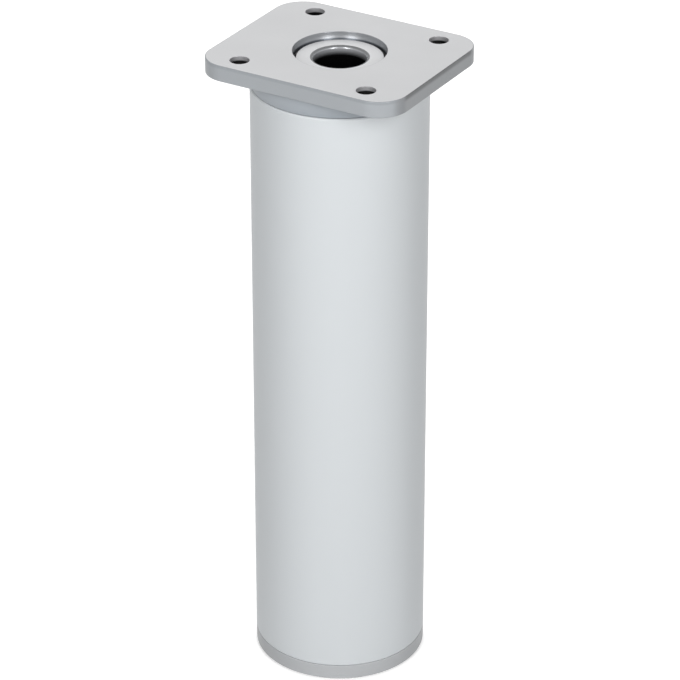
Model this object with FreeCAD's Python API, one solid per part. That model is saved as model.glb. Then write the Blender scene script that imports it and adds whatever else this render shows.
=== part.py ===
import FreeCAD, Part
import math
import os

# Height adjustable table leg. Z is up, the floor is Z = 0 and the leg's axis is the Z axis.
# The plate's long side lies along X. Everything is in millimetres, at rest with the foot drawn in.

# What shows from outside, from the floor up
PAD_PROUD = 0.5
DISC_RIM = 3.5
TUBE_LENGTH = 141.0
COLLAR_HEIGHT = 4.0
PLATE_THICK = 3.75

# Tube
TUBE_RADIUS = 20.0
TUBE_WALL = 1.5
TUBE_CHAMFER = 0.3

# Mounting plate
PLATE_LONG = 50.0
PLATE_SHORT = 42.0
PLATE_CORNER = 7.0
PLATE_CHAMFER = 0.2
SCREW_SPACING = 32.0
SCREW_HOLE_RADIUS = 2.2
RECESS_RADIUS = 10.5
RECESS_DEPTH = 2.6

# Threaded hub, an M18 x 1.5 sleeve with a flange that lies in the plate's recess
FLANGE_THICK = 1.0
FLANGE_GAP = 0.8
HUB_RADIUS = 9.0
HUB_BELOW_PLATE = 11.0
HUB_BORE_RADIUS = 5.9
HUB_LIP = 0.7

# Head plug, a casting pressed in the tube's upper end
COLLAR_INSET = 0.2
SPIGOT_LENGTH = 14.0
SPIGOT_WALL = 2.5
BOSS_WALL = 3.0
BOSS_LENGTH = 14.0
ROOF_THICK = 3.0
HEAD_WEB = 2.0
HEAD_WEB_COUNT = 6

# Guide plug, a moulding pressed in the tube's lower end
PLUG_INSET = 0.3
PLUG_LENGTH = 28.0
PLUG_SKIN = 1.3
PLUG_CORE_WALL = 1.6
PLUG_FLOOR = 2.0
PLUG_WEB = 1.8
CRUSH_RIB = 0.25
CRUSH_RIB_ANGLE = 4.0
CRUSH_RIB_COUNT = 6
NUT_SEAT_THICK = 4.0
SPINDLE_HOLE_GAP = 0.5

# Nut, M10
NUT_FLATS = 16.0
NUT_HEIGHT = 8.0
NUT_CHAMFER = 0.8

# Spindle, M10 x 1.5, and the clip that stops it
SPINDLE_RADIUS = 5.0
SPINDLE_FLANGE_RADIUS = 8.25
SPINDLE_FLANGE_THICK = 2.0
SPINDLE_END = 2.6
SPINDLE_END_CHAMFER = 0.8
KEY_FLATS = 5.0
KEY_DEPTH = 6.0
TRAVEL = 15.0
STOP_GAP = 0.2
CLIP_RADIUS = 8.0
CLIP_THICK = 1.0
CLIP_GROOVE_DEPTH = 1.0
CLIP_MOUTH_HALF_ANGLE = 61.0
CLIP_RIM = 2.2
CLIP_TAB = 2.4

# Foot, and what holds the spindle in it
DISC_CHAMFER = 0.5
PAD_MARGIN = 3.0
PAD_RECESS = 1.0
DISC_FLOOR = 1.5
FOOT_BOSS_WALL = 2.4
WASHER_THICK = 1.0
BUSH_LENGTH = 2.2
BUSH_INSET = 0.3
BLADE_HALF_ANGLE = 30.0
BLADE_GUIDE = 11.0

# Clearances
PRESS_GAP = 0.02
THREAD_GAP = 0.05
SLIDE_GAP = 0.3
BLADE_GAP = 0.8
TURN_GAP = 0.2
PAD_GAP = 0.2

# Levels worked out from the sizes above
DISC_BOTTOM = PAD_PROUD
DISC_TOP = DISC_BOTTOM + DISC_RIM
TUBE_BOTTOM = DISC_TOP
TUBE_TOP = TUBE_BOTTOM + TUBE_LENGTH
COLLAR_TOP = TUBE_TOP + COLLAR_HEIGHT
PLATE_TOP = COLLAR_TOP + PLATE_THICK
RECESS_FLOOR = PLATE_TOP - RECESS_DEPTH
FLANGE_TOP = RECESS_FLOOR + FLANGE_THICK
PLUG_BOTTOM = TUBE_BOTTOM + PLUG_INSET
PLUG_TOP = PLUG_BOTTOM + PLUG_LENGTH
NUT_TOP = PLUG_TOP - NUT_SEAT_THICK
NUT_BOTTOM = NUT_TOP - NUT_HEIGHT
PAD_TOP = DISC_BOTTOM + PAD_RECESS
WASHER_BOTTOM = PAD_TOP + DISC_FLOOR
WASHER_TOP = WASHER_BOTTOM + WASHER_THICK
SPINDLE_FLANGE_TOP = WASHER_TOP + SPINDLE_FLANGE_THICK
BUSH_BOTTOM = SPINDLE_FLANGE_TOP + TURN_GAP
BUSH_TOP = BUSH_BOTTOM + BUSH_LENGTH
BOSS_TOP = BUSH_TOP + BUSH_INSET
CLIP_BOTTOM = PLUG_TOP + TRAVEL + STOP_GAP
CLIP_TOP = CLIP_BOTTOM + CLIP_THICK
SPINDLE_TOP = CLIP_TOP + SPINDLE_END

# Radii worked out from the spindle outwards, and from the tube inwards
CLIP_GROOVE_RADIUS = SPINDLE_RADIUS - CLIP_GROOVE_DEPTH
POCKET_RADIUS = SPINDLE_FLANGE_RADIUS + TURN_GAP
FOOT_BOSS_RADIUS = POCKET_RADIUS + FOOT_BOSS_WALL
PLUG_CORE_RADIUS = FOOT_BOSS_RADIUS + SLIDE_GAP + PLUG_CORE_WALL
BLADE_INNER = PLUG_CORE_RADIUS + BLADE_GAP
TUBE_BORE = TUBE_RADIUS - TUBE_WALL
PLUG_SKIN_RADIUS = TUBE_BORE - CRUSH_RIB
PLUG_SKIN_INSIDE = PLUG_SKIN_RADIUS - PLUG_SKIN
BLADE_OUTER = PLUG_SKIN_INSIDE - BLADE_GAP
PAD_RADIUS = TUBE_RADIUS - PAD_MARGIN


def cylinder(radius, bottom, top):
    return Part.makeCylinder(radius, top - bottom, FreeCAD.Vector(0, 0, bottom))


def ring(outer, inner, bottom, top):
    return cylinder(outer, bottom, top).cut(cylinder(inner, bottom, top))


def turned(profile):
    """Solid of revolution from a closed outline of (radius, height) points."""
    points = [FreeCAD.Vector(radius, 0, height) for radius, height in profile]
    face = Part.Face(Part.makePolygon(points + points[:1]))
    return face.revolve(FreeCAD.Vector(0, 0, 0), FreeCAD.Vector(0, 0, 1), 360)


def arc_block(inner, outer, middle, half_angle, bottom, top):
    """Block between two radii, as wide as twice half_angle, centred on the angle middle."""
    corner = FreeCAD.Vector(inner, 0, bottom)
    face = Part.Face(Part.makePolygon([
        corner,
        corner + FreeCAD.Vector(outer - inner, 0, 0),
        corner + FreeCAD.Vector(outer - inner, 0, top - bottom),
        corner + FreeCAD.Vector(0, 0, top - bottom),
        corner,
    ]))
    face.rotate(FreeCAD.Vector(0, 0, 0), FreeCAD.Vector(0, 0, 1), middle - half_angle)
    return face.revolve(FreeCAD.Vector(0, 0, 0), FreeCAD.Vector(0, 0, 1), 2 * half_angle)


def spoke(inner, outer, width, angle, bottom, top):
    """Straight radial wall of constant width."""
    wall = Part.makeBox(outer - inner, width, top - bottom, FreeCAD.Vector(inner, -width / 2, bottom))
    wall.rotate(FreeCAD.Vector(0, 0, 0), FreeCAD.Vector(0, 0, 1), angle)
    return wall


def hexagon(flats, bottom, top):
    corner_radius = flats / math.sqrt(3)
    points = []
    for step in range(7):
        turn = math.radians(60 * step)
        points.append(FreeCAD.Vector(corner_radius * math.cos(turn), corner_radius * math.sin(turn), bottom))
    return Part.Face(Part.makePolygon(points)).extrude(FreeCAD.Vector(0, 0, top - bottom))


def flat_outline(shape, height):
    """Edges that lie in the level plane at one height."""
    found = []
    for edge in shape.Edges:
        if abs(edge.BoundBox.ZMin - height) < 1e-4 and abs(edge.BoundBox.ZMax - height) < 1e-4:
            found.append(edge)
    return found


def mounting_plate():
    """Plate with rounded corners, a stepped middle hole for the hub and four screw holes."""
    corner = FreeCAD.Vector(-PLATE_LONG / 2, -PLATE_SHORT / 2, COLLAR_TOP)
    blank = Part.makeBox(PLATE_LONG, PLATE_SHORT, PLATE_THICK, corner)
    uprights = [edge for edge in blank.Edges if edge.BoundBox.ZLength > PLATE_THICK / 2]
    plate = blank.makeFillet(PLATE_CORNER, uprights)
    plate = plate.makeChamfer(PLATE_CHAMFER, flat_outline(plate, PLATE_TOP))
    plate = plate.cut(cylinder(RECESS_RADIUS, RECESS_FLOOR, PLATE_TOP))
    plate = plate.cut(cylinder(HUB_RADIUS + PRESS_GAP, COLLAR_TOP, RECESS_FLOOR))
    for side_x in (-1, 1):
        for side_y in (-1, 1):
            hole = cylinder(SCREW_HOLE_RADIUS, COLLAR_TOP, PLATE_TOP)
            hole.translate(FreeCAD.Vector(side_x * SCREW_SPACING / 2, side_y * SCREW_SPACING / 2, 0))
            plate = plate.cut(hole)
    return plate


def threaded_hub():
    """Flanged sleeve, pressed in the plate; the leg's head screws on to it."""
    end = COLLAR_TOP - HUB_BELOW_PLATE
    return turned([
        (HUB_BORE_RADIUS, end),
        (HUB_RADIUS, end),
        (HUB_RADIUS, RECESS_FLOOR),
        (RECESS_RADIUS - FLANGE_GAP, RECESS_FLOOR),
        (RECESS_RADIUS - FLANGE_GAP, FLANGE_TOP),
        (HUB_BORE_RADIUS + HUB_LIP, FLANGE_TOP),
        (HUB_BORE_RADIUS, FLANGE_TOP - HUB_LIP),
    ])


def head_plug():
    """Collar on the tube's end, spigot in the tube and a threaded boss on webs between them."""
    collar_radius = TUBE_RADIUS - COLLAR_INSET
    spigot_radius = TUBE_BORE - PRESS_GAP
    spigot_bottom = TUBE_TOP - SPIGOT_LENGTH
    thread_radius = HUB_RADIUS + THREAD_GAP
    boss_radius = thread_radius + BOSS_WALL
    boss_bottom = COLLAR_TOP - BOSS_LENGTH
    roof_bottom = COLLAR_TOP - ROOF_THICK
    plug = turned([
        (0, spigot_bottom),
        (spigot_radius, spigot_bottom),
        (spigot_radius, TUBE_TOP),
        (collar_radius, TUBE_TOP),
        (collar_radius, COLLAR_TOP),
        (0, COLLAR_TOP),
    ])
    inside = spigot_radius - SPIGOT_WALL
    plug = plug.cut(cylinder(inside, spigot_bottom, roof_bottom))
    plug = plug.fuse(cylinder(boss_radius, boss_bottom, COLLAR_TOP))
    for count in range(HEAD_WEB_COUNT):
        angle = count * 360 / HEAD_WEB_COUNT
        web = spoke(boss_radius - BOSS_WALL / 2, inside + SPIGOT_WALL / 2, HEAD_WEB, angle,
                    boss_bottom, COLLAR_TOP - ROOF_THICK / 2)
        plug = plug.fuse(web)
    return plug.cut(cylinder(thread_radius, spigot_bottom, COLLAR_TOP)).removeSplitter()


def tube():
    """Plain tube with its outer end edges broken."""
    return turned([
        (TUBE_BORE, TUBE_BOTTOM),
        (TUBE_RADIUS - TUBE_CHAMFER, TUBE_BOTTOM),
        (TUBE_RADIUS, TUBE_BOTTOM + TUBE_CHAMFER),
        (TUBE_RADIUS, TUBE_TOP - TUBE_CHAMFER),
        (TUBE_RADIUS - TUBE_CHAMFER, TUBE_TOP),
        (TUBE_BORE, TUBE_TOP),
    ])


def guide_plug():
    """Skin with crush ribs, a core for the nut, and webs that leave two ways for the foot's blades."""
    web_start = PLUG_CORE_RADIUS - PLUG_CORE_WALL / 2
    web_end = PLUG_SKIN_INSIDE + PLUG_SKIN / 2
    plug = ring(PLUG_SKIN_RADIUS, PLUG_SKIN_INSIDE, PLUG_BOTTOM, PLUG_TOP)
    for count in range(CRUSH_RIB_COUNT):
        angle = (count + 0.5) * 360 / CRUSH_RIB_COUNT
        rib = arc_block(web_end, TUBE_BORE - PRESS_GAP, angle, CRUSH_RIB_ANGLE / 2,
                        PLUG_BOTTOM + CRUSH_RIB, PLUG_TOP - CRUSH_RIB)
        plug = plug.fuse(rib)
    plug = plug.fuse(cylinder(PLUG_CORE_RADIUS, PLUG_BOTTOM, PLUG_TOP))
    web_angle = BLADE_HALF_ANGLE + math.degrees((SLIDE_GAP + PLUG_WEB / 2) / BLADE_INNER)
    for side in (0, 180):
        for turn in (web_angle, -web_angle, 90):
            web = spoke(web_start, web_end, PLUG_WEB, side + turn, PLUG_BOTTOM, PLUG_TOP)
            plug = plug.fuse(web)
        floor = arc_block(web_start, web_end, side + 90, 90 - web_angle,
                          PLUG_BOTTOM, PLUG_BOTTOM + PLUG_FLOOR)
        plug = plug.fuse(floor)
    plug = plug.cut(cylinder(FOOT_BOSS_RADIUS + SLIDE_GAP, PLUG_BOTTOM, BOSS_TOP + SLIDE_GAP))
    plug = plug.cut(hexagon(NUT_FLATS + 2 * PRESS_GAP, PLUG_BOTTOM, NUT_TOP))
    plug = plug.cut(cylinder(SPINDLE_RADIUS + SPINDLE_HOLE_GAP, NUT_TOP, PLUG_TOP))
    return plug.removeSplitter()


def spindle_nut():
    """Hexagon nut with its corners turned off at the end that the spindle comes in by."""
    corner_radius = NUT_FLATS / math.sqrt(3)
    rise = NUT_CHAMFER * math.tan(math.radians(30))
    blank = turned([
        (0, NUT_BOTTOM),
        (corner_radius - NUT_CHAMFER, NUT_BOTTOM),
        (corner_radius, NUT_BOTTOM + rise),
        (corner_radius, NUT_TOP),
        (0, NUT_TOP),
    ])
    nut = hexagon(NUT_FLATS, NUT_BOTTOM, NUT_TOP).common(blank)
    return nut.cut(cylinder(SPINDLE_RADIUS + THREAD_GAP, NUT_BOTTOM, NUT_TOP))


def spindle():
    """Screw with a flange at its foot end, a clip groove and a key socket at its top end."""
    body = turned([
        (0, WASHER_TOP),
        (SPINDLE_FLANGE_RADIUS, WASHER_TOP),
        (SPINDLE_FLANGE_RADIUS, SPINDLE_FLANGE_TOP),
        (SPINDLE_RADIUS, SPINDLE_FLANGE_TOP),
        (SPINDLE_RADIUS, CLIP_BOTTOM),
        (CLIP_GROOVE_RADIUS, CLIP_BOTTOM),
        (CLIP_GROOVE_RADIUS, CLIP_TOP),
        (SPINDLE_RADIUS, CLIP_TOP),
        (SPINDLE_RADIUS, SPINDLE_TOP - SPINDLE_END_CHAMFER),
        (SPINDLE_RADIUS - SPINDLE_END_CHAMFER, SPINDLE_TOP),
        (0, SPINDLE_TOP),
    ])
    return body.cut(hexagon(KEY_FLATS, SPINDLE_TOP - KEY_DEPTH, SPINDLE_TOP))


def stop_clip():
    """E-clip: a rim with three inner tabs and a mouth that lets it on to the groove."""
    inside = CLIP_RADIUS - CLIP_RIM
    seat = CLIP_GROOVE_RADIUS + PRESS_GAP
    tab_angle = CLIP_MOUTH_HALF_ANGLE + math.degrees(CLIP_TAB / 2 / seat)
    clip = ring(CLIP_RADIUS, inside, CLIP_BOTTOM, CLIP_TOP)
    for angle in (tab_angle, 180, -tab_angle):
        tab = spoke(0, inside + CLIP_RIM / 2, CLIP_TAB, angle, CLIP_BOTTOM, CLIP_TOP)
        clip = clip.fuse(tab)
    mouth_half = seat * math.sin(math.radians(CLIP_MOUTH_HALF_ANGLE))
    mouth = Part.makeBox(CLIP_RADIUS, 2 * mouth_half, CLIP_THICK,
                         FreeCAD.Vector(0, -mouth_half, CLIP_BOTTOM))
    clip = clip.cut(mouth)
    return clip.cut(cylinder(seat, CLIP_BOTTOM, CLIP_TOP)).removeSplitter()


def thrust_washer():
    return cylinder(SPINDLE_FLANGE_RADIUS, WASHER_BOTTOM, WASHER_TOP)


def spindle_bush():
    """Ring pressed in the foot's boss over the spindle's flange, which it holds down."""
    return ring(POCKET_RADIUS - PRESS_GAP, SPINDLE_RADIUS + SPINDLE_HOLE_GAP, BUSH_BOTTOM, BUSH_TOP)


def foot_disc():
    """Disc under the tube with a boss that holds the spindle and two blades that slide in the plug."""
    disc = turned([
        (0, DISC_BOTTOM),
        (TUBE_RADIUS - DISC_CHAMFER, DISC_BOTTOM),
        (TUBE_RADIUS, DISC_BOTTOM + DISC_CHAMFER),
        (TUBE_RADIUS, DISC_TOP),
        (FOOT_BOSS_RADIUS, DISC_TOP),
        (FOOT_BOSS_RADIUS, BOSS_TOP),
        (0, BOSS_TOP),
    ])
    disc = disc.cut(cylinder(PAD_RADIUS + PAD_GAP, DISC_BOTTOM, PAD_TOP))
    disc = disc.cut(cylinder(POCKET_RADIUS, WASHER_BOTTOM, BOSS_TOP))
    blade_top = DISC_TOP + TRAVEL + BLADE_GUIDE
    for middle in (0, 180):
        blade = arc_block(BLADE_INNER, BLADE_OUTER, middle, BLADE_HALF_ANGLE,
                          DISC_TOP - DISC_FLOOR, blade_top)
        disc = disc.fuse(blade)
    return disc.removeSplitter()


def glide_pad():
    return cylinder(PAD_RADIUS, 0, PAD_TOP)


PIECES = {
    "mounting_plate": mounting_plate,
    "threaded_hub": threaded_hub,
    "head_plug": head_plug,
    "tube": tube,
    "guide_plug": guide_plug,
    "spindle_nut": spindle_nut,
    "spindle": spindle,
    "stop_clip": stop_clip,
    "thrust_washer": thrust_washer,
    "spindle_bush": spindle_bush,
    "foot_disc": foot_disc,
    "glide_pad": glide_pad,
}

os.makedirs("parts", exist_ok=True)
for name, make in PIECES.items():
    piece = make()
    piece.exportStep("parts/" + name + ".step")
    print(name, "solids", len(piece.Solids), "valid", piece.isValid(), "volume", round(piece.Volume, 1))
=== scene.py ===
import bpy
import bmesh
import math
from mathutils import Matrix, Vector


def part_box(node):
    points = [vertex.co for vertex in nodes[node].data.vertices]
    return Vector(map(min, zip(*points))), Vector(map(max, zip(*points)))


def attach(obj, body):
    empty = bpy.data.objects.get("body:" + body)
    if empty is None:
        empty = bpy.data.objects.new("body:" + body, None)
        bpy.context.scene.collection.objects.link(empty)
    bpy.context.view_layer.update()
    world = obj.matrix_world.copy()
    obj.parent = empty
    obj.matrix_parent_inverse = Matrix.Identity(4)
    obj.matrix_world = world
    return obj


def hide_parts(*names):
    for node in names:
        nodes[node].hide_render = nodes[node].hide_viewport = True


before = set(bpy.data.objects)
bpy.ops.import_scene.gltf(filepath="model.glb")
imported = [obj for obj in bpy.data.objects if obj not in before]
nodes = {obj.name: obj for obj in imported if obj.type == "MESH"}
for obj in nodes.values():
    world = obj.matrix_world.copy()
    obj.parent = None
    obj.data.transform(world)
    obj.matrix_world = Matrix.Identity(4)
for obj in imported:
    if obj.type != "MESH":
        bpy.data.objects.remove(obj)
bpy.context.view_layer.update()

# Glide pad
# A soft rubber disc glued in the underside of the foot, where it touches the floor. Its edge is
# rounded and its face carries the fine grain of the mould.


def ring_points(radius, height, steps, sides=0):
    """Points of a level ring about the leg's axis: round, or with sides flats at radius."""
    points = []
    for step in range(steps):
        angle = 2 * math.pi * step / steps
        reach = radius
        if sides:
            half = math.pi / sides
            reach = radius / math.cos(angle % (2 * half) - half)
        points.append((reach * math.cos(angle), reach * math.sin(angle), height))
    return points


def turn_piece(name, outline, steps=192):
    """Piece turned about the leg's axis from an outline of corners, in metres.

    A corner is (radius, height), or (radius, height, sides) where the outline is not round.
    """
    build = bmesh.new()
    rings = []
    for corner in outline:
        if corner[0] == 0:
            rings.append([build.verts.new((0, 0, corner[1]))] * steps)
        else:
            points = ring_points(corner[0], corner[1], steps, *corner[2:])
            rings.append([build.verts.new(point) for point in points])
    for lower, upper in zip(rings, rings[1:] + rings[:1]):
        for step in range(steps):
            ahead = (step + 1) % steps
            corners = []
            for vert in (lower[step], lower[ahead], upper[ahead], upper[step]):
                if vert not in corners:
                    corners.append(vert)
            if len(corners) > 2:
                build.faces.new(corners)
    bmesh.ops.recalc_face_normals(build, faces=build.faces)
    return finish_mesh(name, build)


def finish_mesh(name, build):
    """Turns built geometry into an object of the scene."""
    mesh = bpy.data.meshes.new(name)
    build.to_mesh(mesh)
    build.free()
    piece = bpy.data.objects.new(name, mesh)
    bpy.context.scene.collection.objects.link(piece)
    return piece


def round_edges(piece, width, segments=3, from_angle=25):
    """Breaks the sharp edges of a piece and shades it smooth between them."""
    piece.data.shade_smooth()
    bevel = piece.modifiers.new("broken edges", "BEVEL")
    bevel.width = width
    bevel.segments = segments
    bevel.limit_method = "ANGLE"
    bevel.angle_limit = math.radians(from_angle)
    bevel.miter_outer = "MITER_ARC"
    shade = piece.modifiers.new("flat faces", "WEIGHTED_NORMAL")
    shade.keep_sharp = True


def add_node(tree, kind, operation=None, **sockets):
    """Shader node, with its operation and some of its input sockets set where given."""
    node = tree.nodes.new(kind)
    if operation:
        node.operation = operation
    for socket, value in sockets.items():
        node.inputs[socket.replace("_", " ")].default_value = value
    return node


FLOAT = "NodeSocketFloat"
VECTOR = "NodeSocketVector"
GRAIN_RANGE = (0.3, 0.7)
BUMP_DISTANCE = 0.0001


def start_group(name, inputs, outputs):
    """New node group with its sockets, and its input and output nodes."""
    group = bpy.data.node_groups.new(name, "ShaderNodeTree")
    for in_out, sockets in (("INPUT", inputs), ("OUTPUT", outputs)):
        for socket, kind in sockets:
            group.interface.new_socket(socket, in_out=in_out, socket_type=kind)
    return group, group.nodes.new("NodeGroupInput"), group.nodes.new("NodeGroupOutput")


def fine_grain_group():
    """Fine grain in object space: a height for the bump and a mask for colour and roughness."""
    group, start, end = start_group(
        "fine grain", [("Size", FLOAT), ("Stretch", VECTOR)], [("Height", FLOAT), ("Mask", FLOAT)])
    place = add_node(group, "ShaderNodeTexCoord")
    stretch = add_node(group, "ShaderNodeVectorMath", "MULTIPLY")
    size = add_node(group, "ShaderNodeMath", "DIVIDE")
    size.inputs[0].default_value = 1.0
    grain = add_node(group, "ShaderNodeTexNoise", Detail=3.0, Roughness=0.6)
    patches = add_node(group, "ShaderNodeTexNoise", Scale=60.0, Detail=2.0, Roughness=0.5)
    link = group.links.new
    link(place.outputs["Object"], stretch.inputs[0])
    link(start.outputs["Stretch"], stretch.inputs[1])
    link(start.outputs["Size"], size.inputs[1])
    link(stretch.outputs["Vector"], grain.inputs["Vector"])
    link(size.outputs["Value"], grain.inputs["Scale"])
    link(stretch.outputs["Vector"], patches.inputs["Vector"])
    link(grain.outputs["Fac"], end.inputs["Height"])
    link(patches.outputs["Fac"], end.inputs["Mask"])
    return group


fine_grain = fine_grain_group()


def grained_material(name, dark, light, rough, grain_size, bump, stretch=(1, 1, 1), metal=0.0):
    """Surface whose colour and roughness drift a little between two values, with a fine grain."""
    material = bpy.data.materials.new(name)
    material.use_nodes = True
    tree = material.node_tree
    surface = tree.nodes["Principled BSDF"]
    surface.inputs["Metallic"].default_value = metal
    grain = add_node(tree, "ShaderNodeGroup")
    grain.node_tree = fine_grain
    grain.inputs["Size"].default_value = grain_size
    grain.inputs["Stretch"].default_value = stretch
    colour = add_node(tree, "ShaderNodeValToRGB")
    for stop, position, tone in zip(colour.color_ramp.elements, GRAIN_RANGE, (dark, light)):
        stop.position = position
        stop.color = (*tone, 1)
    gloss = add_node(tree, "ShaderNodeMapRange", From_Min=GRAIN_RANGE[0], From_Max=GRAIN_RANGE[1],
                     To_Min=rough[0], To_Max=rough[1])
    relief = add_node(tree, "ShaderNodeBump", Strength=bump, Distance=BUMP_DISTANCE)
    link = tree.links.new
    link(grain.outputs["Mask"], colour.inputs["Fac"])
    link(colour.outputs["Color"], surface.inputs["Base Color"])
    link(grain.outputs["Mask"], gloss.inputs["Value"])
    link(gloss.outputs["Result"], surface.inputs["Roughness"])
    link(grain.outputs["Height"], relief.inputs["Height"])
    link(relief.outputs["Normal"], surface.inputs["Normal"])
    return material


pad_low, pad_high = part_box("glide_pad")
pad = turn_piece("glide_pad_moulding", [
    (0, pad_low[2]),
    (pad_high[0], pad_low[2]),
    (pad_high[0], pad_high[2]),
    (0, pad_high[2]),
])
round_edges(pad, width=0.0002)
rubber = grained_material("pad rubber", (0.035, 0.035, 0.037), (0.055, 0.055, 0.057),
                          rough=(0.7, 0.85), grain_size=0.0006, bump=0.5)
pad.data.materials.append(rubber)
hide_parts("glide_pad")
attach(pad, "foot")

# Foot disc
# The grey plastic disc under the tube, moulded in one with the boss that holds the spindle and the
# two curved blades that keep the foot from turning. Only its rim shows while it is drawn in.

disc_low, disc_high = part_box("foot_disc")
DISC_RIM_TOP = 0.004
DISC_BOSS_RADIUS = 0.01085
DISC_BOSS_TOP = 0.0087
DISC_POCKET_RADIUS = 0.00845
DISC_POCKET_FLOOR = 0.003
PAD_RECESS_RADIUS = 0.0172
BLADE_RADII = (0.01355, 0.01615)
BLADE_HALF_ANGLE = 30
BLADE_SUNK = 0.001


def join_rings(build, rings):
    """Faces of a bar that runs through rings of four corners each, with both its ends closed."""
    for first, second in zip(rings, rings[1:]):
        for corner in range(4):
            after = (corner + 1) % 4
            build.faces.new((first[corner], second[corner], second[after], first[after]))
    build.faces.new(rings[0])
    build.faces.new(reversed(rings[-1]))


def add_arc_wall(build, radii, middle, half_angle, bottom, top, steps=24):
    """Curved upright wall between two radii, centred on the angle middle, in degrees."""
    rings = []
    for step in range(steps + 1):
        angle = math.radians(middle - half_angle + 2 * half_angle * step / steps)
        section = ((radii[0], bottom), (radii[1], bottom), (radii[1], top), (radii[0], top))
        ring = []
        for radius, height in section:
            point = (radius * math.cos(angle), radius * math.sin(angle), height)
            ring.append(build.verts.new(point))
        rings.append(ring)
    join_rings(build, rings)


def add_to_piece(piece, add, *details):
    """Builds more geometry in the mesh of a piece with the function add."""
    build = bmesh.new()
    build.from_mesh(piece.data)
    add(build, *details)
    bmesh.ops.recalc_face_normals(build, faces=build.faces)
    build.to_mesh(piece.data)
    build.free()


disc = turn_piece("foot_disc_moulding", [
    (0, pad_high[2]),
    (PAD_RECESS_RADIUS, pad_high[2]),
    (PAD_RECESS_RADIUS, disc_low[2]),
    (disc_high[0], disc_low[2]),
    (disc_high[0], DISC_RIM_TOP),
    (DISC_BOSS_RADIUS, DISC_RIM_TOP),
    (DISC_BOSS_RADIUS, DISC_BOSS_TOP),
    (DISC_POCKET_RADIUS, DISC_BOSS_TOP),
    (DISC_POCKET_RADIUS, DISC_POCKET_FLOOR),
    (0, DISC_POCKET_FLOOR),
])
for blade_middle in (0, 180):
    add_to_piece(disc, add_arc_wall, BLADE_RADII, blade_middle, BLADE_HALF_ANGLE,
                 DISC_RIM_TOP - BLADE_SUNK, disc_high[2])
round_edges(disc, width=0.00015)
grey_plastic = grained_material("foot plastic", (0.435, 0.447, 0.46), (0.465, 0.477, 0.49),
                                rough=(0.42, 0.5), grain_size=0.0003, bump=0.25)
disc.data.materials.append(grey_plastic)
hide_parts("foot_disc")
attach(disc, "foot")

# Washer, bush, nut and stop clip
# Small steel pieces inside the leg: the washer and the bush lie in the foot's boss, the nut in the
# guide plug, and the clip in the spindle's groove. The clip is dark spring steel, and the others
# are zinc plated.


def dress_node(name, material, edge_width):
    """Gives a solid from the frame its finish and breaks its edges."""
    node = nodes[name]
    node.data.materials.clear()
    node.data.materials.append(material)
    round_edges(node, edge_width)


zinc = grained_material("zinc plating", (0.52, 0.54, 0.56), (0.60, 0.61, 0.62),
                        rough=(0.3, 0.42), grain_size=0.0004, bump=0.2, metal=1.0)
phosphate = grained_material("dark phosphate", (0.05, 0.05, 0.055), (0.09, 0.09, 0.095),
                             rough=(0.45, 0.6), grain_size=0.0003, bump=0.3, metal=0.8)
dress_node("thrust_washer", zinc, edge_width=0.0001)
dress_node("spindle_bush", zinc, edge_width=0.00015)
dress_node("spindle_nut", zinc, edge_width=0.00015)
dress_node("stop_clip", phosphate, edge_width=0.0001)

# Spindle
# A zinc plated M10 screw with a turned flange at its foot end, a groove for the stop clip and a
# hexagon socket for the key at its top end.

spindle_low, spindle_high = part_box("spindle")
SPINDLE_FLANGE_TOP = 0.006
SPINDLE_RADIUS = 0.005
SPINDLE_ROOT = 0.0041
THREAD_PITCH = 0.0015
THREAD_BOTTOM = 0.0085
THREAD_RUNOUT = 0.001
THREAD_START = THREAD_BOTTOM - 0.0005
CLIP_GROOVE = (0.0475, 0.0485)
CLIP_GROOVE_RADIUS = 0.004
CLIP_COLLAR_BOTTOM = CLIP_GROOVE[0] - 0.0005
THREAD_TOP = CLIP_GROOVE[0] - 0.0006
SPINDLE_END_CHAMFER = 0.0008
KEY_HALF_FLATS = 0.0025
KEY_DEPTH = 0.006
KEY_MOUTH_RADIUS = 0.0032
KEY_MOUTH_DEPTH = 0.0003
KEY_CONE = 0.001
RIDGE_SUNK = 0.0002
RIDGE_FOOT = 0.46
RIDGE_CREST = 0.08


def add_thread(build, root, crest, pitch, bottom, top, steps=64):
    """Helical ridge on a round core, with its two ends run out to nothing.

    Its foot lies RIDGE_SUNK in the core. RIDGE_FOOT and RIDGE_CREST are half widths in pitches.
    """
    turns = (top - bottom - pitch) / pitch
    count = int(turns * steps)
    rings = []
    for step in range(count + 1):
        angle = 2 * math.pi * step / steps
        middle = bottom + pitch / 2 + pitch * step / steps
        rise = min(1, step / (steps / 2), (count - step) / (steps / 2))
        tip = root + (crest - root) * rise
        section = (
            (root - RIDGE_SUNK, -pitch * RIDGE_FOOT),
            (tip, -pitch * RIDGE_CREST),
            (tip, pitch * RIDGE_CREST),
            (root - RIDGE_SUNK, pitch * RIDGE_FOOT),
        )
        ring = []
        for radius, offset in section:
            point = (radius * math.cos(angle), radius * math.sin(angle), middle + offset)
            ring.append(build.verts.new(point))
        rings.append(ring)
    join_rings(build, rings)


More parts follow.
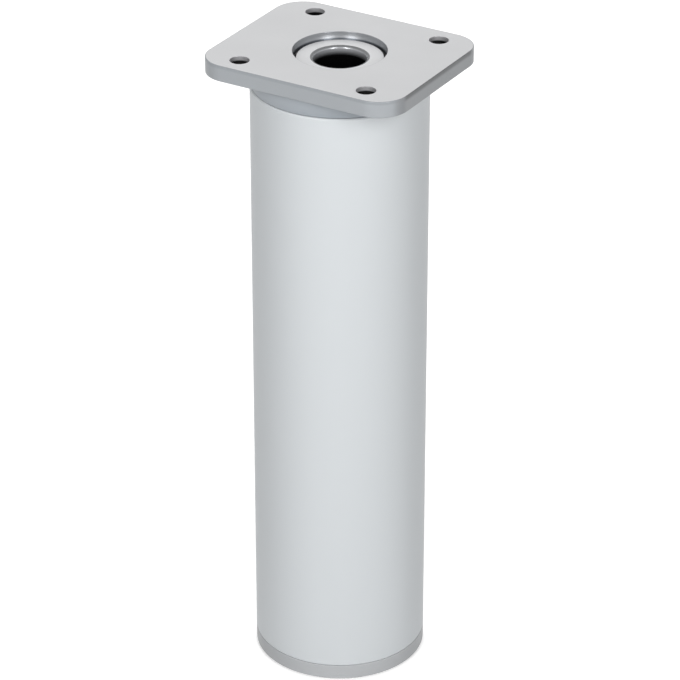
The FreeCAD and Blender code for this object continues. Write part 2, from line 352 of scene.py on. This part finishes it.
spindle = turn_piece("spindle_screw", [
    (0, spindle_low[2]),
    (spindle_high[0], spindle_low[2]),
    (spindle_high[0], SPINDLE_FLANGE_TOP),
    (SPINDLE_RADIUS, SPINDLE_FLANGE_TOP),
    (SPINDLE_RADIUS, THREAD_BOTTOM - THREAD_RUNOUT),
    (SPINDLE_ROOT, THREAD_BOTTOM),
    (SPINDLE_ROOT, THREAD_TOP),
    (SPINDLE_RADIUS, CLIP_COLLAR_BOTTOM),
    (SPINDLE_RADIUS, CLIP_GROOVE[0]),
    (CLIP_GROOVE_RADIUS, CLIP_GROOVE[0]),
    (CLIP_GROOVE_RADIUS, CLIP_GROOVE[1]),
    (SPINDLE_RADIUS, CLIP_GROOVE[1]),
    (SPINDLE_RADIUS, spindle_high[2] - SPINDLE_END_CHAMFER),
    (SPINDLE_RADIUS - SPINDLE_END_CHAMFER, spindle_high[2]),
    (KEY_MOUTH_RADIUS, spindle_high[2]),
    (KEY_HALF_FLATS, spindle_high[2] - KEY_MOUTH_DEPTH, 6),
    (KEY_HALF_FLATS, spindle_high[2] - KEY_DEPTH, 6),
    (0, spindle_high[2] - KEY_DEPTH - KEY_CONE),
], steps=96)
add_to_piece(spindle, add_thread, SPINDLE_ROOT, SPINDLE_RADIUS, THREAD_PITCH, THREAD_START,
             THREAD_TOP)
round_edges(spindle, width=0.00008, segments=2)
spindle.data.materials.append(zinc)
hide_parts("spindle")
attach(spindle, "screw")

# Guide plug
# A black plastic moulding pressed in the tube's lower end. It holds the nut, and its webs leave
# the two slots in which the foot's blades slide.

black_plastic = grained_material("plug plastic", (0.03, 0.03, 0.032), (0.045, 0.045, 0.047),
                                 rough=(0.45, 0.6), grain_size=0.0004, bump=0.3)
dress_node("guide_plug", black_plastic, edge_width=0.00015)

# Tube
# Drawn aluminium tube, sawn to length, with its ends broken and a satin anodised finish. The
# drawing leaves very faint lines along the tube.

tube_low, tube_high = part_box("tube")
TUBE_WALL = 0.0015
TUBE_END_BREAK = 0.0003
tube = turn_piece("tube_anodised", [
    (tube_high[0] - TUBE_WALL, tube_low[2]),
    (tube_high[0] - TUBE_END_BREAK, tube_low[2]),
    (tube_high[0], tube_low[2] + TUBE_END_BREAK),
    (tube_high[0], tube_high[2] - TUBE_END_BREAK),
    (tube_high[0] - TUBE_END_BREAK, tube_high[2]),
    (tube_high[0] - TUBE_WALL, tube_high[2]),
], steps=256)
round_edges(tube, width=0.00005)
anodised = grained_material("satin anodised aluminium",
                            (0.608, 0.636, 0.655), (0.631, 0.659, 0.677),
                            rough=(0.44, 0.5), grain_size=0.0005, bump=0.06, stretch=(1, 1, 0.02),
                            metal=0.08)
tube.data.materials.append(anodised)
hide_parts("tube")
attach(tube, "leg")

# Head plug
# A die casting pressed in the tube's upper end. Its turned collar shows between tube and plate,
# over a small groove, and a threaded boss in its middle takes the hub.

plug_low, plug_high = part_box("head_plug")
SPIGOT_RADIUS = 0.01848
COLLAR_GROOVE_HEIGHT = 0.0002
COLLAR_GROOVE_DEPTH = 0.0005
SPIGOT_WALL = 0.0025
PLUG_ROOF_BOTTOM = 0.146
PLUG_BOSS_RADIUS = 0.01205
PLUG_BOSS_BOTTOM = 0.135
PLUG_BORE = 0.00905
PLUG_WEB_THICK = 0.002
PLUG_WEB_COUNT = 6
PLUG_WEB_SUNK = 0.0005
PLUG_WEB_STEPS = 2
plug_web_radii = (PLUG_BOSS_RADIUS - PLUG_WEB_SUNK, SPIGOT_RADIUS - SPIGOT_WALL + PLUG_WEB_SUNK)
plug = turn_piece("head_plug_casting", [
    (PLUG_BORE, PLUG_BOSS_BOTTOM),
    (PLUG_BOSS_RADIUS, PLUG_BOSS_BOTTOM),
    (PLUG_BOSS_RADIUS, PLUG_ROOF_BOTTOM),
    (SPIGOT_RADIUS - SPIGOT_WALL, PLUG_ROOF_BOTTOM),
    (SPIGOT_RADIUS - SPIGOT_WALL, plug_low[2]),
    (SPIGOT_RADIUS, plug_low[2]),
    (SPIGOT_RADIUS, tube_high[2]),
    (plug_high[0] - COLLAR_GROOVE_DEPTH, tube_high[2]),
    (plug_high[0] - COLLAR_GROOVE_DEPTH, tube_high[2] + COLLAR_GROOVE_HEIGHT),
    (plug_high[0], tube_high[2] + COLLAR_GROOVE_HEIGHT),
    (plug_high[0], plug_high[2]),
    (PLUG_BORE, plug_high[2]),
], steps=256)
plug_web_angle = math.degrees(PLUG_WEB_THICK / 2 / PLUG_BOSS_RADIUS)
for web in range(PLUG_WEB_COUNT):
    add_to_piece(plug, add_arc_wall, plug_web_radii, web * 360 / PLUG_WEB_COUNT, plug_web_angle,
                 PLUG_BOSS_BOTTOM, PLUG_ROOF_BOTTOM + PLUG_WEB_SUNK, PLUG_WEB_STEPS)
round_edges(plug, width=0.0001)
casting = grained_material("turned die casting", (0.18, 0.21, 0.24), (0.38, 0.41, 0.44),
                           rough=(0.34, 0.42), grain_size=0.0008, bump=0.15, stretch=(0.3, 0.3, 3),
                           metal=0.1)
plug.data.materials.append(casting)
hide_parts("head_plug")
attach(plug, "leg")

# Threaded hub
# A turned steel sleeve with a rounded lip. Its flange lies in the plate's recess, its bore, with
# painted shade in it, lets the key through, and its M18 thread below the plate takes the leg.

UP = (0, 0, 1)


def band_group():
    """Mask that is 0 at Low and 1 at High along Direction, alike on either side of the middle."""
    group, start, end = start_group(
        "band", [("Direction", VECTOR), ("Low", FLOAT), ("High", FLOAT)], [("Mask", FLOAT)])
    place = add_node(group, "ShaderNodeTexCoord")
    either_side = add_node(group, "ShaderNodeVectorMath", "ABSOLUTE")
    along = add_node(group, "ShaderNodeVectorMath", "DOT_PRODUCT")
    step = add_node(group, "ShaderNodeMapRange")
    step.interpolation_type = "SMOOTHSTEP"
    link = group.links.new
    link(place.outputs["Object"], either_side.inputs[0])
    link(either_side.outputs["Vector"], along.inputs[0])
    link(start.outputs["Direction"], along.inputs[1])
    link(along.outputs["Value"], step.inputs["Value"])
    link(start.outputs["Low"], step.inputs["From Min"])
    link(start.outputs["High"], step.inputs["From Max"])
    link(step.outputs["Result"], end.inputs["Mask"])
    return group


band = band_group()


def tint_along(material, direction, edge, tint, full, gone):
    """Tints a colour by the way in from an edge: wholly at full and beyond, not at all at gone."""
    tree = material.node_tree
    surface = tree.nodes["Principled BSDF"]
    mask = add_node(tree, "ShaderNodeGroup")
    mask.node_tree = band
    for socket, value in (("Direction", direction), ("Low", edge - full), ("High", edge - gone)):
        mask.inputs[socket].default_value = value
    blend = add_node(tree, "ShaderNodeMix")
    blend.data_type = "RGBA"
    blend.inputs["A"].default_value = (*tint, 1)
    tree.links.new(mask.outputs["Mask"], blend.inputs["Factor"])
    tree.links.new(surface.inputs["Base Color"].links[0].from_socket, blend.inputs["B"])
    tree.links.new(blend.outputs["Result"], surface.inputs["Base Color"])


def paint_faces(piece, slot, wanted):
    """Gives a material slot to each face all of whose corners pass the test wanted."""
    for face in piece.data.polygons:
        if all(wanted(piece.data.vertices[index].co) for index in face.vertices):
            face.material_index = slot


def rounded_edge(top, size, segments=4):
    """(way in from the wall, height) down over the rounded top edge of an upright wall."""
    steps = []
    for segment in range(segments + 1):
        angle = math.pi / 2 * segment / segments
        steps.append((size * (1 - math.sin(angle)), top - size * (1 - math.cos(angle))))
    return steps


hub_low, hub_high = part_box("threaded_hub")
HUB_RADIUS = 0.009
HUB_ROOT = 0.0081
HUB_FLANGE_THICK = 0.001
HUB_BORE = 0.0059
HUB_LIP = 0.0007
HUB_THREAD_TOP = 0.1485
HUB_THREAD_RUNOUT = 0.0002
HUB_BORE_SLOT = 1
HUB_RIM_SHADE_SLOT = 2
CORNER_TOLERANCE = 0.00002
hub_flange_bottom = hub_high[2] - HUB_FLANGE_THICK
hub_mouth = HUB_BORE + HUB_LIP
hub_lip = rounded_edge(hub_high[2], HUB_LIP, segments=8)
hub = turn_piece("threaded_hub_sleeve", [
    (HUB_BORE, hub_low[2]),
    (HUB_ROOT, hub_low[2]),
    (HUB_ROOT, HUB_THREAD_TOP),
    (HUB_RADIUS, HUB_THREAD_TOP + HUB_THREAD_RUNOUT),
    (HUB_RADIUS, hub_flange_bottom),
    (hub_high[0], hub_flange_bottom),
    (hub_high[0], hub_high[2]),
    *((HUB_BORE + way_out, height) for way_out, height in hub_lip),
], steps=160)
add_to_piece(hub, add_thread, HUB_ROOT, HUB_RADIUS, THREAD_PITCH, hub_low[2], HUB_THREAD_TOP)
round_edges(hub, width=0.0001, segments=2)
turned_steel = grained_material("turned hub steel", (0.71, 0.715, 0.725), (0.75, 0.755, 0.765),
                                rough=(0.46, 0.54), grain_size=0.0005, bump=0.15, metal=0.2)
bore_steel_painted_shade = grained_material("bore steel with painted shade", (0.46, 0.47, 0.49), (0.50, 0.51, 0.53),
                                rough=(0.22, 0.28), grain_size=0.0004, bump=0.2, metal=0.35)
gap_painted_shade = grained_material("painted gap shade", (0.05, 0.05, 0.05), (0.09, 0.09, 0.09),
                             rough=(0.6, 0.7), grain_size=0.0003, bump=0.2)
# Painted shade darkens the bore to near black below the lip, and a painted dark reflection
# lies on the lip's upper edge.
tint_along(bore_steel_painted_shade, UP, hub_high[2], (0.003, 0.003, 0.003), full=0.0022, gone=0.0005)
tint_along(bore_steel_painted_shade, UP, hub_high[2], (0.16, 0.165, 0.17), full=0.0001, gone=0.0006)
for material in (turned_steel, bore_steel_painted_shade, gap_painted_shade):
    hub.data.materials.append(material)
paint_faces(hub, HUB_BORE_SLOT,
            lambda corner: math.hypot(corner.x, corner.y) < hub_mouth + CORNER_TOLERANCE)
# The flange's rim, deep in the gap by the recess wall, is near black with painted shade.
paint_faces(hub, HUB_RIM_SHADE_SLOT,
            lambda corner: math.hypot(corner.x, corner.y) > hub_high[0] - CORNER_TOLERANCE)
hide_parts("threaded_hub")
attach(hub, "leg")

# Mounting plate
# A flat steel plate with rounded corners, four plain screw holes and a turned recess round the
# middle hole. Its face is ground to a pale satin. Its drawn sides and sheared ends are darker,
# partly as blanked steel and partly as painted shade.

plate_low, plate_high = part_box("mounting_plate")
PLATE_CORNER = 0.007
PLATE_EDGE_BREAK = 0.0002
HOLE_EDGE_BREAK = PLATE_EDGE_BREAK / 3
RECESS_EDGE_BREAK = PLATE_EDGE_BREAK / 2
SCREW_SPACING = 0.032
SCREW_HOLE_RADIUS = 0.0022
HOLE_STEPS = 64
RECESS_RADIUS = 0.0105
RECESS_DEPTH = 0.0026
RECESS_STEPS = 160
PLATE_BORE = 0.00902
DRAWN_SLOT, SHEARED_SLOT, PUNCHED_SLOT, TURNED_SLOT = range(1, 5)
LENGTHWAYS = (1, 0, 0)
CROSSWAYS = (0, 1, 0)
CORNER_PAINTED_SHADE = (0.275, 0.287, 0.30)


def rounded_rectangle(half_x, half_y, corner, inset, steps=24):
    """Points of a rectangle with rounded corners, moved in by inset."""
    points = []
    for turn in range(4):
        side_x = (1, -1, -1, 1)[turn]
        side_y = (1, 1, -1, -1)[turn]
        for step in range(steps + 1):
            angle = math.radians(90 * turn + 90 * step / steps)
            points.append((
                side_x * (half_x - corner) + (corner - inset) * math.cos(angle),
                side_y * (half_y - corner) + (corner - inset) * math.sin(angle),
            ))
    return points


def circle(centre_x, centre_y, radius, steps):
    """Points of a circle."""
    points = []
    for step in range(steps):
        angle = 2 * math.pi * step / steps
        points.append((centre_x + radius * math.cos(angle), centre_y + radius * math.sin(angle)))
    return points


def both_edges(top, bottom, size):
    """The steps of rounded_edge, and the same again at the wall's bottom edge."""
    steps = rounded_edge(top, size)
    return steps + [(way_in, bottom + top - height) for way_in, height in reversed(steps)]


def add_walls(build, levels):
    """Wall down through (points, height) rings. Gives back its top and its bottom edges."""
    loops = []
    for points, height in levels:
        loops.append([build.verts.new((x, y, height)) for x, y in points])
    for first, second in zip(loops, loops[1:]):
        for index in range(len(first)):
            after = (index + 1) % len(first)
            build.faces.new((first[index], first[after], second[after], second[index]))
    ends = []
    for loop in (loops[0], loops[-1]):
        edges = []
        for index in range(len(loop)):
            edges.append(build.edges.get((loop[index], loop[(index + 1) % len(loop)])))
        ends.append(edges)
    return ends


plate_build = bmesh.new()
plate_top = plate_high[2]
plate_bottom = plate_low[2]
recess_floor = plate_top - RECESS_DEPTH
hole_offset = SCREW_SPACING / 2
outer_levels = []
for way_in, height in both_edges(plate_top, plate_bottom, PLATE_EDGE_BREAK):
    outline = rounded_rectangle(plate_high[0], plate_high[1], PLATE_CORNER, way_in)
    outer_levels.append((outline, height))
plate_walls = [outer_levels]
for hole_x in (-hole_offset, hole_offset):
    for hole_y in (-hole_offset, hole_offset):
        hole_levels = []
        for way_out, height in both_edges(plate_top, plate_bottom, HOLE_EDGE_BREAK):
            ring = circle(hole_x, hole_y, SCREW_HOLE_RADIUS + way_out, HOLE_STEPS)
            hole_levels.append((ring, height))
        plate_walls.append(hole_levels)
recess_steps = [(RECESS_RADIUS + way_out, height)
                for way_out, height in rounded_edge(plate_top, RECESS_EDGE_BREAK)]
recess_steps += [
    (RECESS_RADIUS, recess_floor),
    (PLATE_BORE, recess_floor),
    (PLATE_BORE, plate_bottom),
]
recess_levels = []
for radius, height in recess_steps:
    recess_levels.append((circle(0, 0, radius, RECESS_STEPS), height))
plate_walls.append(recess_levels)
top_edges = []
bottom_edges = []
for levels in plate_walls:
    top_ring, bottom_ring = add_walls(plate_build, levels)
    top_edges += top_ring
    bottom_edges += bottom_ring
for face in plate_build.faces:
    middle = face.calc_center_median()
    from_hole = math.hypot(abs(middle.x) - hole_offset, abs(middle.y) - hole_offset)
    if abs(middle.x) > plate_high[0] - PLATE_EDGE_BREAK:
        face.material_index = SHEARED_SLOT
    elif from_hole < SCREW_HOLE_RADIUS + HOLE_EDGE_BREAK:
        face.material_index = PUNCHED_SLOT
    elif math.hypot(middle.x, middle.y) < RECESS_RADIUS + RECESS_EDGE_BREAK:
        face.material_index = TURNED_SLOT
    else:
        face.material_index = DRAWN_SLOT
for edges in (top_edges, bottom_edges):
    bmesh.ops.triangle_fill(plate_build, use_beauty=True, use_dissolve=False, edges=edges)
bmesh.ops.recalc_face_normals(plate_build, faces=plate_build.faces)
plate = finish_mesh("mounting_plate_blank", plate_build)
plate.data.shade_smooth()
plate_shade = plate.modifiers.new("flat faces", "WEIGHTED_NORMAL")
plate_shade.weight = 100
ground_steel = grained_material("ground plate face", (0.625, 0.63, 0.64), (0.67, 0.675, 0.685),
                                rough=(0.46, 0.54), grain_size=0.0004, bump=0.12, metal=0.15)
drawn_steel_painted_shade = grained_material("drawn plate side with painted shade", (0.335, 0.355, 0.375), (0.365, 0.385, 0.405),
                               rough=(0.34, 0.46), grain_size=0.0004, bump=0.3,
                               stretch=(0.2, 0.2, 1), metal=0.15)
sheared_steel_painted_shade = grained_material("sheared plate end with painted shade", (0.30, 0.312, 0.324), (0.345, 0.357, 0.369),
                                 rough=(0.4, 0.5), grain_size=0.0004, bump=0.3,
                                 stretch=(1, 1, 0.1), metal=0.15)
hole_wall_painted_shade = grained_material("punched hole wall with painted shade", (0.46, 0.46, 0.475), (0.52, 0.52, 0.535),
                                 rough=(0.3, 0.4), grain_size=0.0003, bump=0.3,
                                 stretch=(1, 1, 0.1), metal=0.6)
recess_wall_painted_light_and_shade = grained_material("turned recess wall with painted shade and light", (0.28, 0.29, 0.305), (0.32, 0.33, 0.345),
                                rough=(0.3, 0.36), grain_size=0.0004, bump=0.1,
                                stretch=(0.1, 0.1, 3), metal=0.75)
# Painted shade: sides and ends are darker along their top edge, and have the same tone where
# they meet.
tint_along(drawn_steel_painted_shade, UP, plate_top, (0.30, 0.32, 0.34), full=0.0004, gone=0.0009)
tint_along(drawn_steel_painted_shade, LENGTHWAYS, plate_high[0], CORNER_PAINTED_SHADE, full=0.0002, gone=0.0014)
tint_along(sheared_steel_painted_shade, UP, plate_top, (0.14, 0.145, 0.15), full=0.0004, gone=0.0014)
tint_along(sheared_steel_painted_shade, CROSSWAYS, plate_high[1], CORNER_PAINTED_SHADE, full=0.0055, gone=0.0072)
# Painted shade makes the holes near black inside and the recess wall dark low down, and painted
# light makes the wall pale at its very foot.
tint_along(hole_wall_painted_shade, UP, plate_top, (0.002, 0.002, 0.002), full=0.0012, gone=0.0008)
tint_along(recess_wall_painted_light_and_shade, UP, plate_top, (0.08, 0.088, 0.10), full=0.0017, gone=0.0013)
tint_along(recess_wall_painted_light_and_shade, UP, plate_top, (0.50, 0.50, 0.50), full=0.0025, gone=0.0021)
for material in (ground_steel, drawn_steel_painted_shade, sheared_steel_painted_shade, hole_wall_painted_shade, recess_wall_painted_light_and_shade):
    plate.data.materials.append(material)
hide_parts("mounting_plate")
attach(plate, "leg")

# Floor and backdrop
# A plain white floor that keeps the leg's shadow and glows away from it, where the lamps don't
# reach. It shows white in metal too, but sends little light back up, and it is clear from below.

FLOOR_SIZE = 6.0
FLOOR_PAPER = (0.8, 0.8, 0.8, 1)
FLOOR_DIM = (0.3, 0.3, 0.3, 1)
FLOOR_GLOW = 0.5
FLOOR_GLOW_FADE = (0.3, 1.6)
WORLD_LEVEL = 0.08


def seen_directly(tree):
    """1 for rays from the camera, a reflection or glass, 0 for those that only light things."""
    path = add_node(tree, "ShaderNodeLightPath")
    first = add_node(tree, "ShaderNodeMath", "MAXIMUM")
    second = add_node(tree, "ShaderNodeMath", "MAXIMUM")
    tree.links.new(path.outputs["Is Camera Ray"], first.inputs[0])
    tree.links.new(path.outputs["Is Glossy Ray"], first.inputs[1])
    tree.links.new(first.outputs["Value"], second.inputs[0])
    tree.links.new(path.outputs["Is Transmission Ray"], second.inputs[1])
    return second.outputs["Value"]


floor_build = bmesh.new()
bmesh.ops.create_grid(floor_build, x_segments=1, y_segments=1, size=FLOOR_SIZE / 2)
floor = finish_mesh("floor", floor_build)
floor_paint = bpy.data.materials.new("white floor")
floor_paint.use_nodes = True
tree = floor_paint.node_tree
tree.nodes.clear()
paper = add_node(tree, "ShaderNodeBsdfDiffuse", Color=FLOOR_PAPER)
place = add_node(tree, "ShaderNodeTexCoord")
away = add_node(tree, "ShaderNodeVectorMath", "LENGTH")
rise = add_node(tree, "ShaderNodeMapRange", From_Min=FLOOR_GLOW_FADE[0],
                From_Max=FLOOR_GLOW_FADE[1], To_Min=FLOOR_GLOW, To_Max=1.0)
glow = add_node(tree, "ShaderNodeEmission", Color=(1, 1, 1, 1))
lit = add_node(tree, "ShaderNodeAddShader")
dim = add_node(tree, "ShaderNodeBsdfDiffuse", Color=FLOOR_DIM)
shown = add_node(tree, "ShaderNodeMixShader")
clear = add_node(tree, "ShaderNodeBsdfTransparent")
side = add_node(tree, "ShaderNodeMixShader")
geometry = add_node(tree, "ShaderNodeNewGeometry")
out = add_node(tree, "ShaderNodeOutputMaterial")
link = tree.links.new
link(place.outputs["Object"], away.inputs[0])
link(away.outputs["Value"], rise.inputs["Value"])
link(rise.outputs["Result"], glow.inputs["Strength"])
link(paper.outputs["BSDF"], lit.inputs[0])
link(glow.outputs["Emission"], lit.inputs[1])
link(seen_directly(tree), shown.inputs["Fac"])
link(dim.outputs["BSDF"], shown.inputs[1])
link(lit.outputs["Shader"], shown.inputs[2])
link(geometry.outputs["Backfacing"], side.inputs["Fac"])
link(shown.outputs["Shader"], side.inputs[1])
link(clear.outputs["BSDF"], side.inputs[2])
link(side.outputs["Shader"], out.inputs["Surface"])
floor.data.materials.append(floor_paint)

world = bpy.data.worlds.new("white room")
bpy.context.scene.world = world
world.use_nodes = True
tree = world.node_tree
level = add_node(tree, "ShaderNodeMapRange", To_Min=WORLD_LEVEL, To_Max=1.0)
tree.links.new(seen_directly(tree), level.inputs["Value"])
tree.nodes["Background"].inputs["Color"].default_value = (1, 1, 1, 1)
tree.links.new(level.outputs["Result"], tree.nodes["Background"].inputs["Strength"])

# Lamps and camera
# Two upright softboxes, one each side of the camera, one lamp behind for the far side, and the
# camera where the photograph was taken from.

CAMERA_TURN = math.radians(30.69)
CAMERA_RISE = math.radians(28.32)
CAMERA_AWAY = 0.77735
CAMERA_LENS = 178.41
CAMERA_SENSOR = 36
CAMERA_SHIFT = (0.00015, 0.0215)
CAMERA_CLIP = 0.01
CAMERA_AIM = 0.076625
aim = Vector((0, 0, CAMERA_AIM))


def from_aim(turn, rise, away):
    """Point at a distance from the middle of the leg, turned right from the front and raised."""
    return aim + away * Vector((
        math.sin(turn) * math.cos(rise),
        -math.cos(turn) * math.cos(rise),
        math.sin(rise),
    ))


def look_at(thing, place):
    """Puts a lamp or the camera at a place, turned to the middle of the leg."""
    thing.location = place
    thing.rotation_euler = (aim - place).to_track_quat("-Z", "Y").to_euler()
    bpy.context.scene.collection.objects.link(thing)


def add_softbox(name, turn, rise, away, size, power, glossy):
    """Rectangular lamp turned and raised by angles in degrees, seen in shiny things if glossy."""
    lamp = bpy.data.lights.new(name, "AREA")
    lamp.shape = "RECTANGLE"
    lamp.size = size[0]
    lamp.size_y = size[1]
    lamp.energy = power
    softbox = bpy.data.objects.new(name, lamp)
    softbox.visible_glossy = glossy
    look_at(softbox, from_aim(math.radians(turn), math.radians(rise), away))


add_softbox("left softbox", turn=2, rise=25, away=1.6, size=(0.5, 1.1), power=15, glossy=True)
add_softbox("right softbox", turn=59, rise=25, away=1.6, size=(0.5, 1.1), power=15, glossy=True)
add_softbox("far side lamp", turn=212, rise=40, away=1.6, size=(1.0, 1.0), power=16, glossy=False)

camera_data = bpy.data.cameras.new("camera")
camera_data.lens = CAMERA_LENS
camera_data.sensor_width = CAMERA_SENSOR
camera_data.shift_x, camera_data.shift_y = CAMERA_SHIFT
camera_data.clip_start = CAMERA_CLIP
camera = bpy.data.objects.new("camera", camera_data)
look_at(camera, from_aim(CAMERA_TURN, CAMERA_RISE, CAMERA_AWAY))
bpy.context.scene.camera = camera
bpy.context.scene.view_settings.view_transform = "Standard"
